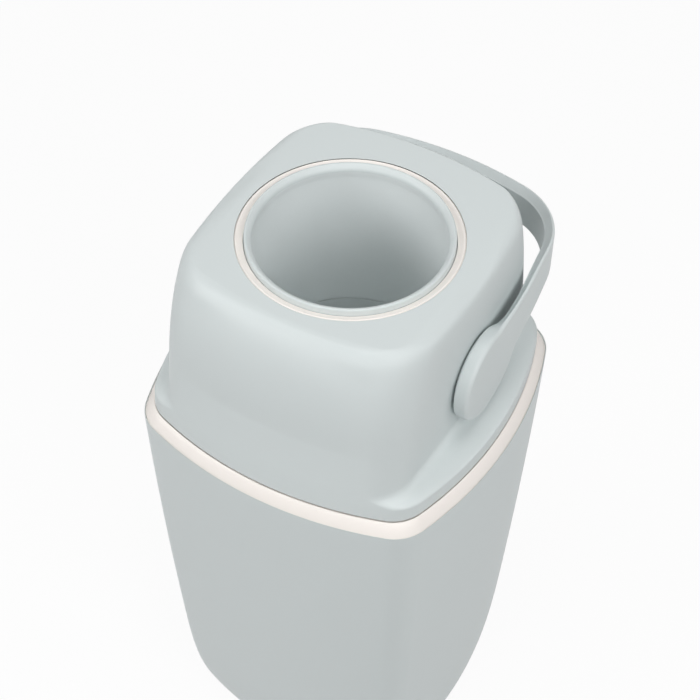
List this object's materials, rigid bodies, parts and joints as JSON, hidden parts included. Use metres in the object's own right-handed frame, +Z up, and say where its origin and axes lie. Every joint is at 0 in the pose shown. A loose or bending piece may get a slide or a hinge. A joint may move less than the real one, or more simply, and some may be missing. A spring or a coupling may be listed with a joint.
{
  "type": "nappy bin",
  "caption": "Tall rounded-square nappy bin with a hinged lid and a drum chute that a strap handle flips half a turn to drop the nappy inside.",
  "frame": {"origin": "middle of the base, on the floor", "axes": "+Z up; +X along the drum's axis through the handle's discs; front towards -Y, handle at rest towards +Y"},
  "size_m": [0.2876, 0.3166, 0.567],
  "materials": {
    "grey_plastic": "satin moulded, fine grain",
    "cream_plastic": "satin moulded",
    "dark_rubber": "matt",
    "seal_rubber": "matt",
    "bearing_plastic": "smooth",
    "steel": "bright"
  },
  "bodies": {
    "bin": {"bin_body": "grey_plastic", "foot_pads": "dark_rubber", "collar_band": "cream_plastic", "bag_ring": "grey_plastic", "hinge_pin": "steel"},
    "lid": {"lid_shell": "grey_plastic", "mouth_seal": "seal_rubber", "lid_liner": "grey_plastic", "outlet_seal": "seal_rubber", "liner_screws": "steel", "bush_left": "bearing_plastic", "bush_right": "bearing_plastic"},
    "drum": {"drum_upper": "cream_plastic", "drum_lower": "cream_plastic", "drum_screws": "steel", "chute_tube": "grey_plastic", "mouth_ring_upper": "grey_plastic", "mouth_ring_lower": "grey_plastic", "trunnion_left": "bearing_plastic", "trunnion_right": "bearing_plastic", "trunnion_screws": "steel", "handle_bail": "grey_plastic"},
    "piston": {"piston_cup": "grey_plastic", "piston_weight": "steel", "piston_cover": "grey_plastic", "piston_wiper": "seal_rubber"}
  },
  "joints": [
    {"name": "lid_hinge", "type": "hinge", "parent": "bin", "child": "lid", "pos_m": [0, 0.14253, 0.42], "axis": [-1, 0, 0], "range_deg": [0, 95]},
    {"name": "drum_flip", "type": "hinge", "parent": "lid", "child": "drum", "pos_m": [0, 0, 0.4762], "axis": [1, 0, 0], "range_deg": [0, 180]},
    {"name": "piston_slide", "type": "slide", "parent": "drum", "child": "piston", "axis": [0, 0, 1], "range_m": [0, 0.1334]}
  ]
}
